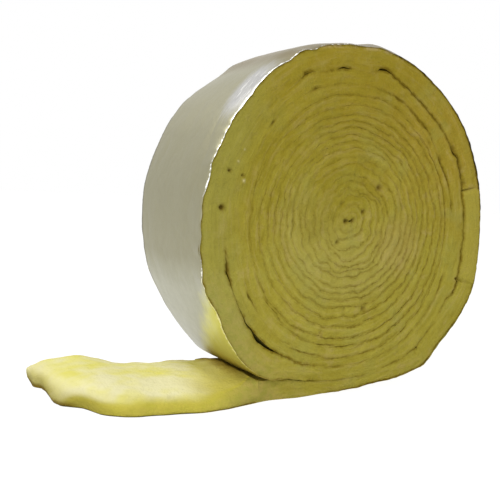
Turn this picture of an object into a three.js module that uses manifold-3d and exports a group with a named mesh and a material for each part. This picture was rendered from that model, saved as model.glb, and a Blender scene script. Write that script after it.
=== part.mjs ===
// A part-used roll of foil-faced glass-wool wrap, lying with its axis level and its loose end run
// out along the floor. Millimetres, +Z up. The roll's axis runs along Y and the loose end, the tail,
// runs towards -X. The origin is on the floor below the roll, at the middle of its width.

import * as THREE from "three";
import { mergeVertices } from "three/addons/utils/BufferGeometryUtils.js";
import Module from "manifold-3d";

const wasm = await Module();
wasm.setup();

// ---------------------------------------------------------------- the wrap, as it is made
const STRIP_WIDTH = 152;
const BLANKET_THICKNESS = 26;
const FOIL_THICKNESS = 0.2;
const BOND_GAP = 0.3;

// ---------------------------------------------------------------- how it is wound
// The strip starts folded at the eye. Its packed turns are squeezed hard there and less at their rim.
const EYE_X = -8.5;
const EYE_RADIUS = 7;
const EYE_OPENING_LENGTH = 12;
const EYE_OPENING_HEIGHT = 5;
const EYE_OPENING_TILT = 25;
const PACKED_TURNS = 16;
const PITCH_AT_EYE = 7.8;
const PITCH_AT_RIM = 10.8;
// Two loose turns lie outside the packed ones. This is how far the inner of them stands off.
const SECOND_TURN_STAND_OFF = 12;
const SETTLED_SHARE = 0.999;

// The packed turns are drawn towards the floor, and a little oval, by their own weight.
const SAG_ANGLE = -95;
const SAG_SHARE = 0.035;
const OVAL_ANGLE = -105;
const OVAL_SHARE = 0.015;

// The groove where the edges of two turns bulge apart, on the ends of the roll.
const GROOVE_WIDTH = 3.2;
const GROOVE_DEPTH = 4.5;

// The outermost turn has sprung away from the next one in a crescent, low down by the tail.
const CRESCENT_GAP = 4.2;
const CRESCENT_ANGLE = -129;
const CRESCENT_SPREAD = 8;

// Where the roll comes down on the tail, and where its flattened underside leaves the floor.
// Angles are in degrees about the eye, anticlockwise from +X as seen from the front, which is -Y.
const NIP_ANGLE = -121;
const LIFT_OFF_ANGLE = -82.5;

// ---------------------------------------------------------------- the tail
const TAIL_REACH = 310;
const TEAR_LENGTH = 56;
const TEAR_WIDTH = 61;
const TAIL_CORNER_RADIUS = 22;
const TAIL_END_WAVE = 3;

// How full the tail is: [share of the way from the nip to its end, height along its middle, height
// along its edges], the heights as shares of the blanket's thickness.
const TAIL_HEIGHTS = [
  [-0.03, 0.95, 0.93], [0, 0.99, 0.97], [0.04, 0.96, 0.8], [0.08, 0.94, 0.65], [0.17, 0.9, 0.53], [0.32, 0.88, 0.47],
  [0.45, 0.88, 0.49], [0.58, 0.89, 0.54], [0.73, 0.92, 0.66], [0.88, 0.96, 0.8], [1, 0.97, 0.86], [1.04, 0.97, 0.86],
];
const TAIL_CROWN_POWER = 2.4;

// ---------------------------------------------------------------- the faces of the loose turns
// The outer face of the outermost turn: [angle, share of the roll's radius].
const OUTERMOST_TURN = [
  [-69, 1.018], [-60, 1.05], [-53.4, 1.078], [-45, 1.056], [-35, 1.063], [-24, 1.079], [-10, 1.04], [10, 1.013],
  [35, 1.005], [57, 0.985], [80, 0.988], [97, 0.975], [119, 0.987], [133, 0.95], [148, 0.943], [165, 0.938],
  [180, 0.937], [195, 0.955], [209, 0.964], [221, 0.968], [231, 0.986],
];

// The outer face of the turn inside it: [angle, share of the second turn's radius].
const SECOND_TURN = [
  [-111, 1.095], [-100, 1.06], [-88, 1.05], [-75, 1.062], [-60, 1.086], [-45, 1.083], [-28, 1.08], [-15, 1.042],
  [0, 1.026], [15, 0.995], [35, 0.978], [60, 0.976], [77, 1.005], [91, 0.967], [115, 0.985], [135, 0.942],
  [152, 0.914], [180, 0.928], [200, 0.946], [215, 0.967], [228, 0.985],
];

// ---------------------------------------------------------------- sizes that follow
const packedRadius = EYE_RADIUS + (PACKED_TURNS * (PITCH_AT_EYE + PITCH_AT_RIM)) / 2;
const secondTurnRadius = packedRadius + SECOND_TURN_STAND_OFF;
const rollRadius = secondTurnRadius + BLANKET_THICKNESS;
const eyeHeight = rollRadius * SETTLED_SHARE;
const skin = FOIL_THICKNESS + BOND_GAP;
const halfWidth = STRIP_WIDTH / 2;
const nipHeight = BLANKET_THICKNESS + skin;

// How finely the curves are stepped, and how far a cutter runs past what it cuts.
const LINE_STEP_COUNT = 3;
const RIM_GROOVE_STEP_COUNT = 28;
const EYE_GROOVE_STEP_COUNT = 8;
const TAIL_STEP_COUNT = 12;
const EYE_OPENING_STEP_COUNT = 3;
const OVERRUN = 5;

const radians = THREE.MathUtils.degToRad;

// ---------------------------------------------------------------- points in the plane of an end
// Plane points are Vector2: x is the row's X and y is its height.
function aroundEye(angle, radius) {
  const x = EYE_X + radius * Math.cos(radians(angle));
  const height = eyeHeight + radius * Math.sin(radians(angle));
  return new THREE.Vector2(x, height);
}

function angleAboutEye(point) {
  return THREE.MathUtils.radToDeg(Math.atan2(point.y - eyeHeight, point.x - EYE_X));
}

function onRayAtHeight(angle, height) {
  return aroundEye(angle, (height - eyeHeight) / Math.sin(radians(angle)));
}

// The line moved to its left, which is towards the eye on the wound strip.
function moveLeft(line, distanceAt) {
  return line.map((point, i) => {
    const before = line[Math.max(i - 1, 0)];
    const after = line[Math.min(i + 1, line.length - 1)];
    const along = after.clone().sub(before).normalize();
    const left = new THREE.Vector2(-along.y, along.x);
    return point.clone().addScaledVector(left, distanceAt(point, i));
  });
}

// The face of the packed turns, after a number of turns in from their rim.
function packedTurn(turns, angle) {
  const slack = ((PITCH_AT_RIM - PITCH_AT_EYE) * turns ** 2) / (2 * PACKED_TURNS);
  const radius = packedRadius - PITCH_AT_RIM * turns + slack;
  const sag = SAG_SHARE * Math.cos(radians(angle - SAG_ANGLE));
  const oval = OVAL_SHARE * Math.cos(radians(2 * (angle - OVAL_ANGLE)));
  return aroundEye(angle, radius * (1 + ((sag + oval) * radius) / packedRadius));
}

// ---------------------------------------------------------------- the line that the foil follows
// Its outer face runs along the floor, once round the roll to the nip, and once more inside.
const nip = onRayAtHeight(NIP_ANGLE, nipHeight);
const liftOff = onRayAtHeight(LIFT_OFF_ANGLE, 0);
const slitEnd = packedTurn(0, NIP_ANGLE);

const shapePoints = [
  liftOff,
  ...OUTERMOST_TURN.map(([angle, share]) => aroundEye(angle, share * rollRadius)),
  nip,
  ...SECOND_TURN.map(([angle, share]) => aroundEye(angle, share * secondTurnRadius)),
  slitEnd,
];
const woundLine = new THREE.SplineCurve(shapePoints).getPoints((shapePoints.length - 1) * LINE_STEP_COUNT);
const nipStep = (OUTERMOST_TURN.length + 1) * LINE_STEP_COUNT;
const insideLine = woundLine.slice(nipStep);

// The spiral of the packed turns, from the end of the slit to the eye.
function packedLine() {
  const line = [];
  let turns = 0;
  while (turns < PACKED_TURNS) {
    line.push(packedTurn(turns, NIP_ANGLE + 360 * turns));
    const share = 1 - turns / PACKED_TURNS;
    turns += 1 / THREE.MathUtils.lerp(EYE_GROOVE_STEP_COUNT, RIM_GROOVE_STEP_COUNT, Math.sqrt(share));
  }
  line.push(packedTurn(PACKED_TURNS, NIP_ANGLE));
  return line;
}

// ---------------------------------------------------------------- solids
function toSolid(geometry) {
  geometry.deleteAttribute("normal");
  geometry.deleteAttribute("uv");
  const merged = mergeVertices(geometry);
  return new wasm.Manifold(new wasm.Mesh({
    numProp: 3,
    vertProperties: Float32Array.from(merged.attributes.position.array),
    triVerts: Uint32Array.from(merged.index.array),
  }));
}

function toMesh(name, solid, material) {
  const result = solid.getMesh();
  const geometry = new THREE.BufferGeometry();
  geometry.setAttribute("position", new THREE.BufferAttribute(result.vertProperties, 3));
  geometry.setIndex(new THREE.BufferAttribute(result.triVerts, 1));
  geometry.computeVertexNormals();
  const mesh = new THREE.Mesh(geometry, material);
  mesh.name = name;
  return mesh;
}

// A section in the plane of an end, run straight across the strip's width.
function acrossWidth(section, width) {
  const geometry = new THREE.ExtrudeGeometry(new THREE.Shape(section), { depth: width, bevelEnabled: false });
  geometry.translate(0, 0, -width / 2);
  geometry.rotateX(Math.PI / 2);
  return toSolid(geometry);
}

// Closed rings of points joined one to the next. Each ring turns right-handed about the way they run.
function loft(rings) {
  const size = rings[0].length;
  const indices = [];
  for (let ring = 0; ring < rings.length - 1; ring++) {
    for (let i = 0; i < size; i++) {
      const a = ring * size + i;
      const b = ring * size + ((i + 1) % size);
      indices.push(a, b, b + size, a, b + size, a + size);
    }
  }
  const last = (rings.length - 1) * size;
  for (let i = 1; i < size - 1; i++) {
    indices.push(0, i + 1, i);
    indices.push(last, last + i, last + i + 1);
  }
  const geometry = new THREE.BufferGeometry().setFromPoints(rings.flat());
  geometry.setIndex(indices);
  return toSolid(geometry);
}

// ---------------------------------------------------------------- the wound body
// One section: the outermost turn is parted from the body by a slit that lets the foil in, and the
// slit widens into the crescent on the last half of its turn.
function woundBody() {
  const slitWidth = (point, i) => {
    const off = (angleAboutEye(point) - CRESCENT_ANGLE) / CRESCENT_SPREAD;
    const crescent = i > insideLine.length / 2 ? CRESCENT_GAP * Math.exp(-off * off) : 0;
    return BOND_GAP + crescent;
  };
  const floorStart = new THREE.Vector2(nip.x, 0);
  const outside = moveLeft([floorStart, ...woundLine], () => skin);
  const slitWall = moveLeft(insideLine, (point, i) => -slitWidth(point, i));
  return acrossWidth([...outside, ...slitWall.reverse()], STRIP_WIDTH);
}

// A V-shaped groove that follows the joint between the turns, on the end at side -1 or +1.
function grooveCutter(side) {
  const line = [...insideLine.slice(1, -1), ...packedLine()];
  const mouth = (GROOVE_WIDTH / 2) * (1 + OVERRUN / GROOVE_DEPTH) * side;
  const oneSide = moveLeft(line, () => -mouth);
  const otherSide = moveLeft(line, () => mouth);
  const outer = side * (halfWidth + OVERRUN);
  const apex = side * (halfWidth - GROOVE_DEPTH);
  const rings = line.map((point, i) => [
    new THREE.Vector3(oneSide[i].x, outer, oneSide[i].y),
    new THREE.Vector3(otherSide[i].x, outer, otherSide[i].y),
    new THREE.Vector3(point.x, apex, point.y),
  ]);
  return loft(rings);
}

// The flattened opening left in the first fold of the strip.
function eyeOpening() {
  const shape = new THREE.Shape();
  const eye = aroundEye(0, 0);
  shape.absellipse(eye.x, eye.y, EYE_OPENING_LENGTH / 2, EYE_OPENING_HEIGHT / 2, 0, 2 * Math.PI, false, radians(EYE_OPENING_TILT));
  return acrossWidth(shape.getPoints(EYE_OPENING_STEP_COUNT).slice(0, -1), STRIP_WIDTH + 2 * OVERRUN);
}

// ---------------------------------------------------------------- the tail
// The blanket outside the nip, crowned across its width and full again at its end.
function tailSlab() {
  const rings = [...TAIL_HEIGHTS].reverse().map(([share, middle, edge]) => {
    const x = THREE.MathUtils.lerp(nip.x, -TAIL_REACH, share);
    const ring = [new THREE.Vector3(x, -halfWidth, skin), new THREE.Vector3(x, halfWidth, skin)];
    for (let i = TAIL_STEP_COUNT; i >= 0; i--) {
      const y = halfWidth * ((2 * i) / TAIL_STEP_COUNT - 1);
      const crown = 1 - Math.abs(y / halfWidth) ** TAIL_CROWN_POWER;
      ring.push(new THREE.Vector3(x, y, BLANKET_THICKNESS * THREE.MathUtils.lerp(edge, middle, crown)));
    }
    return ring;
  });
  return loft(rings);
}

// What is missing beyond the tail's end: its near corner is torn off, and its far one is rounded.
function scrapCutter() {
  const end = -TAIL_REACH;
  const tearTop = new THREE.Vector2(end, -halfWidth + TEAR_WIDTH);
  const tearFoot = new THREE.Vector2(end + TEAR_LENGTH, -halfWidth);
  const cornerStart = new THREE.Vector2(end, halfWidth - TAIL_CORNER_RADIUS);
  const onTear = (share, wave) => tearTop.clone().lerp(tearFoot, share).add(new THREE.Vector2(wave, 0));
  const onEnd = (share, wave) => tearTop.clone().lerp(cornerStart, share).add(new THREE.Vector2(wave, 0));
  const beyond = end - 3 * OVERRUN;
  const shape = new THREE.Shape();
  shape.moveTo(beyond, halfWidth + OVERRUN);
  shape.lineTo(beyond, -halfWidth - OVERRUN);
  shape.lineTo(tearFoot.x + OVERRUN, -halfWidth - OVERRUN);
  shape.lineTo(tearFoot.x, tearFoot.y);
  shape.splineThru([
    onTear(0.72, -TAIL_END_WAVE), onTear(0.4, TAIL_END_WAVE), tearTop,
    onEnd(0.4, TAIL_END_WAVE), onEnd(0.75, 0), cornerStart,
  ]);
  shape.quadraticCurveTo(end, halfWidth, end + TAIL_CORNER_RADIUS, halfWidth);
  shape.lineTo(end + TAIL_CORNER_RADIUS, halfWidth + OVERRUN);
  const depth = BLANKET_THICKNESS + 2 * OVERRUN;
  const geometry = new THREE.ExtrudeGeometry(shape, { depth, bevelEnabled: false, curveSegments: LINE_STEP_COUNT });
  geometry.translate(0, 0, -OVERRUN);
  return toSolid(geometry);
}

// ---------------------------------------------------------------- the two pieces
const scrap = scrapCutter();

function blanket() {
  const cutters = [scrap, eyeOpening(), grooveCutter(-1), grooveCutter(1)];
  return cutters.reduce((solid, cutter) => solid.subtract(cutter), woundBody().add(tailSlab()));
}

function facing() {
  const tailEnd = new THREE.Vector2(-TAIL_REACH - OVERRUN, 0);
  const outerFace = [tailEnd, ...woundLine.slice(0, -1)];
  const innerFace = moveLeft(outerFace, () => FOIL_THICKNESS);
  return acrossWidth([...outerFace, ...innerFace.reverse()], STRIP_WIDTH).subtract(scrap);
}

const glassWool = new THREE.MeshStandardMaterial({ color: 0xc8bf6e, roughness: 1, metalness: 0 });
const foil = new THREE.MeshStandardMaterial({ color: 0xb9b8a4, roughness: 0.4, metalness: 1 });

const roll = new THREE.Group();
roll.add(toMesh("glass_wool_blanket", blanket(), glassWool));
roll.add(toMesh("foil_facing", facing(), foil));

export default roll;
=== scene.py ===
# A part-used roll of foil-faced glass-wool wrap, lying on its rim with its loose end, the tail, run
# out along the floor. The strip is modelled flat, at its real length, and then wound on its line.
import math

import bpy
import numpy as np
from mathutils import Matrix, Vector, noise


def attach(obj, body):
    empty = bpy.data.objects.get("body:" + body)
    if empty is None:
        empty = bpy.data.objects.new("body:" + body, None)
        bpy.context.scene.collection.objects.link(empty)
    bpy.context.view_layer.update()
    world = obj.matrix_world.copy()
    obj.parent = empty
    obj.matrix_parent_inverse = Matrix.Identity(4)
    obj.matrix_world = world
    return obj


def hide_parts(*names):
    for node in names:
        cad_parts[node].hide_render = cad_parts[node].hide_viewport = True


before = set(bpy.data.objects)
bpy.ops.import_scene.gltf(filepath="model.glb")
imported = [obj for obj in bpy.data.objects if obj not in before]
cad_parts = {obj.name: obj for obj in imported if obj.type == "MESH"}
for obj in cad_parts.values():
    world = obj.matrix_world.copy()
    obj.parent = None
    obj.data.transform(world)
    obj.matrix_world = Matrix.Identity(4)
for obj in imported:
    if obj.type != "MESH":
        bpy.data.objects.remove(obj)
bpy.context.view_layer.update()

# ------------------------------------------------------------------ sizes, in millimetres and degrees
# Angles are about the eye, anticlockwise from +X as seen from the near side, which is -Y. Where they are
# counted on through the turns, from the outermost turn in, 360 is added for each.
MM = 0.001
STRIP_WIDTH = 152.0
HALF_WIDTH = STRIP_WIDTH / 2
EYE = np.array([-8.5, 193.6])
# Where the roll comes down on the tail, and where its flattened underside leaves the floor.
NIP_ANGLE = -121.0
LIFT_OFF_ANGLE = -82.5
TAIL_REACH = 310.0
TAIL_CORNER_RADIUS = 1.5
# The strip counts as tail up to this length along it and up to this X.
TAIL_LENGTH, TAIL_INNER_X = 330, -42
# How far the line runs on past the torn end, so that points that lean out over it have a place on it.
RUN_OUT = 10.0
# The room left for the bond between the foil and the wool.
BOND_ROOM = 0.25
SEED = 7

# The outer face of each loose turn, from the outermost in: (angle, radius).
LOOSE_TURNS = (
    ((-76, 195.0), (-69, 197.5), (-60, 204.2), (-53.4, 209.8), (-46, 206.2), (-38, 207.2), (-30.5, 209.6),
     (-24, 210.4), (-16, 205.6), (-9, 201.4), (0, 198.3), (14, 196.9), (28, 195.7), (35, 195.9), (45, 194.3),
     (57, 192.6), (66, 192.6), (74, 191.8), (78, 191.4), (82, 192), (86, 190), (89, 188.8), (92, 188.9), (95, 189.5),
     (99, 189.2), (105, 189.8), (110, 189.3), (116, 189.8), (122, 188), (128, 186.4), (135, 183.9), (148, 183),
     (157, 181.8), (165, 182.2), (172, 183), (180, 181.8), (190, 183.9), (200, 186.4), (208, 186.6), (214, 188.2),
     (218, 190.3), (222, 192.2), (226, 194.2), (231, 195.6), (235, 195.7), (239, 195.2)),
    ((-111, 183.7), (-100, 178), (-88, 176.6), (-75, 178.6), (-65, 180.8), (-54, 183.6), (-45, 181.8), (-38, 179.6),
     (-31, 178.4), (-26, 182.6), (-20, 179.6), (-12, 174.4), (0, 171.8), (8, 169), (18, 168.6), (26, 169.6),
     (35, 165.6), (43, 164.4), (55, 163.4), (64, 164.8), (72, 166.6), (79, 170), (84, 164.6), (91, 162.2),
     (97, 163.8), (106, 163.4), (115, 165.6), (121, 161.8), (135, 158.4), (150, 153.6), (165, 154.4), (180, 155.8),
     (190, 156.8), (200, 159), (215, 162.6), (228, 164.6), (239, 164.4)),
    ((-108, 163.6), (-97, 161.6), (-90, 161.2), (-77, 162), (-65, 163.2), (-55, 163.4), (-45, 161.8), (-36, 159.6),
     (-27, 158.4), (-16, 153.4), (-4, 150.6), (10, 149.4), (22, 147), (33, 144.8), (45, 146.6), (60, 148.2),
     (72, 149.8), (83, 148.4), (96, 147.2), (108, 148.4), (118, 148), (138, 144.6), (160, 142.4), (180, 142),
     (200, 142.8), (215, 146.4), (239, 151)),
    ((-105, 152.2), (-90, 152.5), (-70, 151.6), (-55, 150.8), (-42, 148), (-25, 144), (0, 140), (20, 137.4),
     (36, 134.6), (50, 133.8), (60, 137), (72, 138.6), (85, 136.4), (100, 137.2), (125, 133.5), (160, 128.6),
     (190, 127.8), (225, 133), (239, 137)),
)
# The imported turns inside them: (radius below the eye, radius above it).
PACKED_TURNS = (
    (139.5, 125), (130.5, 114.4), (117.5, 107), (107, 100.4), (97, 93), (88, 86.3), (81, 79.5), (73.5, 70.6),
    (61.7, 62.4), (55, 50.6), (48, 44.6), (38.6, 34.9), (30.4, 27.5), (19.5, 18), (11.5, 10),
)
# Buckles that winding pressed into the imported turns: (length, height at each of the radii below).
BUCKLE_RADII = (8, 30, 75, 140, 160)
BUCKLES = ((21.0, (2.0, 8.0, 3.4, 1.6, 0)), (8.5, (1.2, 3.6, 1.8, 1.2, 0.8)), (4.5, (0.2, 0.7, 0.6, 0.6, 0.5)))
# The eye, where the strip starts: an open slot.
EYE_RADIUS = 7.5
EYE_LENGTH = 10.0
EYE_HEIGHT = 1.1
EYE_TILT = 25.0

# How far the outermost turn stands off the next one in: (angle, gap).
SPRUNG_GAPS = (
    (-121, 0.3), (-90, 0.1), (-60, 0.1), (-55.5, 0.2), (-54, 2.4), (-52, 0.2), (-35, 0.2), (-29, 0.4), (-26.5, 1),
    (-24, 0.4), (-21.6, 2.4), (-19.6, 0.6), (-8, 0.4), (8, 0.4), (13, 0.5), (17, 0.8), (21, 1), (25, 0.8), (29, 1.4),
    (34, 0.5), (50, 0.5), (66, 0.7), (76, 1), (79.5, 2.2), (83, 0.4), (94, 0.3), (98, 1.6), (101, 0.3), (112, 0.2),
    (115.5, 0.8), (118, 0), (130, 0), (160, 0), (190, 0.1), (197, 0.8), (200, 1.6), (204, 0.8), (212, 0.4),
    (219, 1.2), (224, 2.2), (227.3, 4), (231.6, 3.4), (236, 2), (241, 0.8), (246, 0.2), (250, 0),
)

# How strong the painted shade and the groove are at each joint between two turns on the near end, from 0 to 1:
# (angle, share), the outermost first.
JOINT_CLEARNESS = (
    ((-121, 0.5), (-100, 0.4), (-92, 0.15), (-85, 0.25), (-60, 0.6), (-53, 0.9), (-45, 0.6), (-33, 0.7), (-22, 1),
     (-12, 0.8), (-4, 0.6), (5, 0.6), (12, 0.9), (25, 1), (35, 1), (60, 1.1), (80, 1.1), (85, 0.4), (92, 0.35),
     (97, 0.9), (105, 0.6), (115, 0.7), (120, 0.2), (135, 0.1), (150, 0.05), (170, 0.02), (186, 0.15), (197, 0.8),
     (203, 0.8), (210, 0.35), (220, 0.8), (239, 1)),
    ((-121, 1), (-112, 0.8), (-103, 0.8), (-90, 0.35), (-70, 0.45), (-50, 0.5), (-30, 0.55), (-22, 0.35), (-15, 0.1),
     (4, 0.15), (8, 0.6), (12, 0.2), (20, 0.7), (30, 0.9), (39, 0.5), (46, 0.9), (60, 1), (70, 0.9), (80, 0.6),
     (86, 0.2), (100, 0.25), (108, 0.2), (113, 0.6), (119, 0.1), (134, 0.1), (137.5, 0.5), (141, 0.05), (180, 0.05),
     (203, 0.1), (210, 0.4), (216, 0.5), (224, 0.1), (239, 0.3)),
)
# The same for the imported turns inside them: (angle, share), and (radius, share).
CLEAR_AROUND = (
    (-190, 0.45), (-165, 0.4), (-140, 0.4), (-118, 0.5), (-95, 0.58), (-70, 0.62), (-40, 0.65), (-10, 0.55),
    (20, 0.5), (45, 0.5), (70, 0.45), (100, 0.4), (125, 0.3), (150, 0.24), (170, 0.45), (195, 0.4),
)
CLEAR_OUTWARD = ((8, 0.5), (28, 0.75), (45, 0.8), (65, 0.82), (85, 0.85), (110, 0.95), (135, 1.05), (165, 1))
# How dark the painted shade is on the line between the wool and its foil round the outside: (angle, share).
OUTER_EDGE_CLEARNESS = (
    (-121, 0), (-98, 0.3), (-82, 1), (-55, 1.2), (-36, 1.1), (-28, 0.8), (-16, 0.8), (0, 1.2), (20, 1.4), (36, 1.3),
    (48, 0.8), (60, 0.9), (90, 0.5), (120, 0.9), (205, 1.1), (220, 0.9), (232, 0.8), (239, 0.5),
)
# The far end is worn as the near end is, but turned: a mark at an angle lies at this less that angle.
FAR_END_TURN = 150

# How full the tail is: (X, height of its near edge, of its middle, of its far edge).
TAIL_HEIGHTS = (
    (-310, 12, 16, 16.4), (-305, 15, 19.2, 19.4), (-300, 17, 21.8, 22.7), (-295, 18.5, 23.2, 24.4),
    (-288, 19.5, 24.4, 25.2), (-280, 19.5, 25, 26.2), (-272, 19, 25.4, 27.4), (-264, 18, 25.6, 27.6),
    (-252, 17, 25, 25.8), (-239, 16, 24, 22.2), (-225, 14.8, 23.2, 17.2), (-210, 14.2, 23, 14.8),
    (-196, 14, 23.2, 15), (-180, 13.4, 22.6, 13.4), (-165, 13.6, 22.4, 14), (-152, 14.2, 22.2, 15.2),
    (-138, 16.2, 20.9, 14.2), (-126, 19.8, 24, 12.6), (-118, 25.6, 26, 11.8), (-112, 27, 26.6, 10.8),
    (-98, 25, 23, 9.6), (-80, 24, 22, 8.4), (-60, 22, 20, 8), (-40, 20, 19, 12),
)
# How flat its top is across before it drops to its edges: 2 is round, and more is flatter.
CROWN_POWER = 2.4
# Where the tail's near edge runs, torn off and pulled a little askew: (X, Y).
TAIL_NEAR_EDGE = (
    (-310, -9.6), (-308.6, -17.9), (-306.5, -21.2), (-300.4, -26.6), (-294, -31.6), (-287.8, -37.4), (-283.3, -48),
    (-279, -59.2), (-273.3, -65.6), (-267, -70.2), (-260.5, -74.4), (-253.4, -77.2), (-246, -79.2), (-238, -79.6),
    (-230, -80.6), (-222, -82.2), (-206, -83.8), (-198, -85.2), (-190, -86.8), (-182, -87.8), (-172, -87.2),
    (-163, -86.2), (-153, -85.2), (-143, -82.7), (-132, -80), (-121, -77.4), (-110, -74.6), (-100, -72.6),
    (-80, -72.6), (-50, -74.6), (-10, -75), (30, -76),
)
# How far the very end of the tail is out of square: (Y, shift along X).
TAIL_END_SHIFT = (
    (-20, 0.2), (-5, 0.6), (7, 1.2), (20, 2), (30, 2.6), (38, 2.8), (43, 2), (46, 0), (49, -3), (52, -4.6),
    (60, -4.2), (68, -3.6), (76, -5),
)
# How far its far corner is turned up off the floor, and how far its top leans out there and elsewhere.
TAIL_TIP_LIFT = 4.5
TAIL_TIP_LEAN = 5.0
TAIL_END_LEAN = 2.2

# Ripples of the whole end of the roll: (size, height, seed).
FACE_RIPPLES = ((70, 1.6, 51), (24, 1.3, 52), (9, 0.9, 53))
# Creases across the edge of the outermost turn: (angle, inner radius, outer radius, width, depth).
EDGE_CREASES = ((13.8, 168, 196, 1.2, 3.2), (-21.6, 176, 196, 1.3, 3.4), (-54.6, 183, 192, 0.9, 2))
# Between the first two the cut edge was folded over flat, and stands a little proud: (first angle, last angle,
# radius, rise).
FOLDED_EDGE = (-21, 13, 181, 1.7)
# Soft hollows along the joints: (angle, radius, half length, half width, depth).
EDGE_HOLLOWS = (
    (31.5, 168.6, 6, 3, 3.4), (24, 170.6, 7, 3, 2.2), (16.5, 172.4, 4.5, 3, 3), (-25.5, 157.5, 6, 1.6, 2.2),
    (-27, 184, 3.5, 1.6, 2), (-146.8, 147.4, 5, 0.9, 2.6), (115.2, 168, 3.5, 1.2, 2), (112.5, 149, 3, 1.6, 2),
    (137.6, 144.8, 3, 1.4, 2), (31, 146.2, 3.5, 1.8, 2), (8.4, 150.2, 3.2, 1.3, 2), (50, 145, 5, 1.2, 1.6),
    (21.5, 147.8, 3, 1.2, 1.6), (41.5, 140.6, 4, 1.2, 1.4), (198, 158.6, 7, 1.4, 2),
)
# Small pits in the end of the roll: (angle, radius, size, depth).
EDGE_PITS = (
    (162.9, 160.4, 1.9, 4.5), (176.4, 159.8, 2.8, 6), (162.7, 144.6, 1.5, 3), (46, 53.3, 3.4, 3.8),
    (-74.8, 101.4, 3.2, 3.2), (-90, 97.8, 2.2, 1.2), (13.2, 75, 2.2, 1), (32, 20.4, 3, 3.4),
    (-121.5, 27.6, 2.4, 2.8), (-104, 126, 1.8, 1.2), (125, 24, 2.6, 1.4), (-160, 160, 1.8, 1.6), (0, 39, 3, 0.8),
    (-118, 133, 2, 0.9), (-175, 5.8, 3.2, 3.6), (12, 3.4, 2.6, 3.6),
)
# Pale tufts of loose fibre on it: (angle, radius, size, rise).
EDGE_TUFTS = ((164.6, 142.2, 1.4, 1.2), (158.6, 154.9, 1.1, 0.9), (153.5, 154, 1, 0.7), (176.4, 156, 1.2, 0.8))

# How far the facing lies outside its near edge at its far edge: (angle, distance).
FAR_EDGE_SHIFT = (
    (-70, 0), (60, 0), (72, 0.6), (80, 2.4), (88, 2.8), (96, 4.2), (105, -0.8), (113, -4.4), (120, -8.6),
    (127, -6.9), (133, -2.6), (139, 0.9), (145, 1), (151, 1.2), (173, 1.1), (180, 1.6), (194, -0.5), (208, -0.9),
    (218, -3.4), (226, -5.2), (232, -3.8), (238, 0.4), (244, 5.6), (250, 9), (256, 7), (263, 2.5), (272, 0),
)
# Where the facing bulges out behind its near edge: (angle, spread in degrees, distance, share of the half width
# over which it rises).
SHOULDERS = ((124, 15, 3.4, 0.42), (110, 12, 2.4, 0.25), (74, 17, 6.4, 0.22))
# Small dents in the facing's near edge: (angle, distance inward).
RIM_DENTS = (
    (104, 0), (107, 0.1), (110, 1.4), (112, -0.2), (114.3, -1), (117, 0.9), (119.7, 2.2), (122, 0.8), (125, -0.2),
    (128, -0.5), (131, -0.6), (133.3, -0.8), (135.3, -0.5), (137.1, 0.6), (139, 0), (141.5, 0.7), (144, 0.8),
    (146.5, 0.3), (148, -0.2), (150, 0.9), (152.5, 0.5), (154.5, 0.8), (157, 0.5), (158.5, -0.2), (160, -0.3),
    (162.3, -1), (163.5, -1.1), (165, 0.3), (166.7, 1), (168, 1.8), (169.6, 1.8), (170.8, 1.5), (172, 0.9),
    (174.5, -0.9), (177, -1.2), (179.5, -1.1), (181, -1.8), (184.5, -1.3), (186.4, -0.2), (188, -1.2), (190, -2.3),
    (192, -1.4), (195.5, -0.5), (197, -1), (200, -3.1), (202, -2.1), (204, -3.2), (206.5, -2.2), (210.5, 0.4),
    (213, 0.4), (216, -0.2), (220, 0),
)
# How far the facing's near edge is turned up off the floor under the roll: (angle, distance).
NEAR_EDGE_LIFT = ((-106, 0), (-97, 2), (-90, 2.6), (-85, 4), (-79, 4.2), (-74, 3), (-69, 1), (-62, 0))
# How strong the painted highlight along the foil's cut edge is: (angle, share).
BRIGHT_RIM = (
    (60, 0), (86, 0.5), (96, 0.8), (108, 0.85), (116, 1), (122, 1.1), (144, 1.1), (150, 0.98), (160, 0.98), (170, 1),
    (174, 0.8), (177, 0.2), (186, 0.1), (192, 0.6), (196, 1), (206, 1), (208, 1.1), (214, 1.1), (226, 1.1),
    (234, 0.9), (238, 0.2),
)
# Real foil is thinner than this. It is drawn as thick as its edge needs to show.
FOIL_SHOWN_THICKNESS = 0.15

# ------------------------------------------------------------------ how finely it is modelled
# Degrees between two points of the line.
LINE_STEP = 0.4
# The strip has a ring of points at each station. This is how far apart they are, as a share of the distance from
# the eye, at least, at most, and between two that fine detail asks for.
STATION_SHARE, STATION_MIN, STATION_MAX, STATION_CLOSEST = 0.035, 1.9, 3.5, 0.35
# More stations near the torn end, about each mark on the roll's end, and at the two ends of the folded edge.
END_STATIONS = (0.7, 3.3, 5.0, 7.2, 9.5)
MARK_STATIONS = (-3.2, -2, -1.2, -0.6, 0, 0.6, 1.2, 2, 3.2)
FOLD_MARKS = ((-20.6, 182), (-53.6, 184))
# Points of the wool up its near edge, up its far edge, across its top, and (Y) back under it.
NEAR_EDGE_POINTS = 13
FAR_EDGE_POINTS = 9
TOP_POINTS = 20
UNDER_POINTS = (68, 55, 50.5, 47.5, 44, 32, 20, 5, -56)
# Points across half of the foil.
FOIL_COLUMNS = 18

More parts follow.
